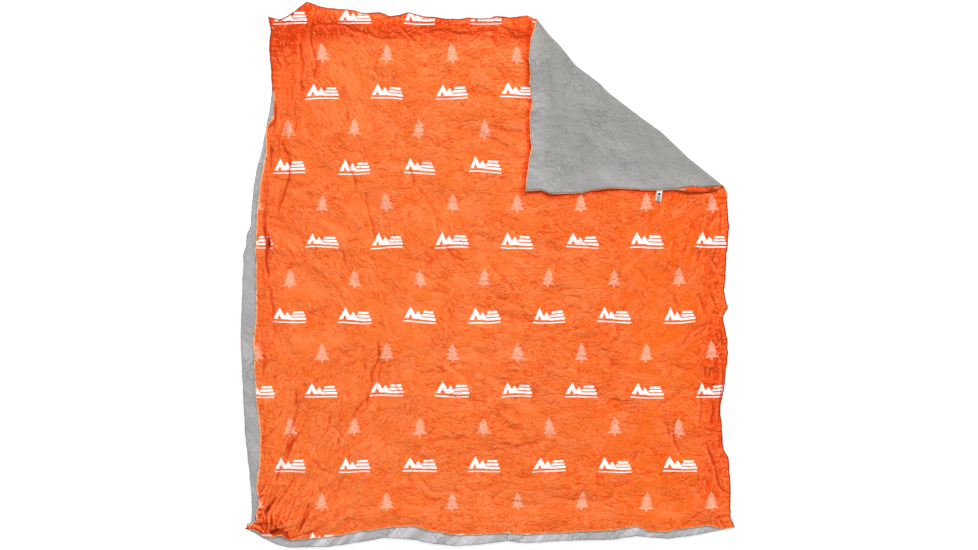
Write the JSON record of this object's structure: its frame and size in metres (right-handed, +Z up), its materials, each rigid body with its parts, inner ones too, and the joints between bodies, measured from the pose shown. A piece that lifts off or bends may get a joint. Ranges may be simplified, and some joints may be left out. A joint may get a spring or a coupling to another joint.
{
  "type": "emergency blanket",
  "caption": "Emergency blanket laid flat with a corner turned over: crinkled orange face, grey reflective back rolled over the edges, and a snap tab in the seam.",
  "frame": {"origin": "on the surface that the blanket lies on, below the middle of its bounding box", "axes": "+Z up from the surface, +Y towards the blanket's top edge, +X towards the side whose top corner is turned over"},
  "size_m": [1.4816, 1.6336, 0.0282],
  "materials": {
    "face_cloth": "crinkled paper-like cloth, orange with a pale printed motif",
    "back_cloth": "crinkled silver-grey reflective cloth with a soft sheen",
    "tab_tape": "woven grey tape with paler edges",
    "stud_metal": "satin press stud"
  },
  "bodies": {
    "root": {"face_sheet": "face_cloth", "back_sheet": "back_cloth", "snap_tab": "tab_tape", "stud_socket": "stud_metal", "stud_cap": "stud_metal"}
  },
  "joints": []
}
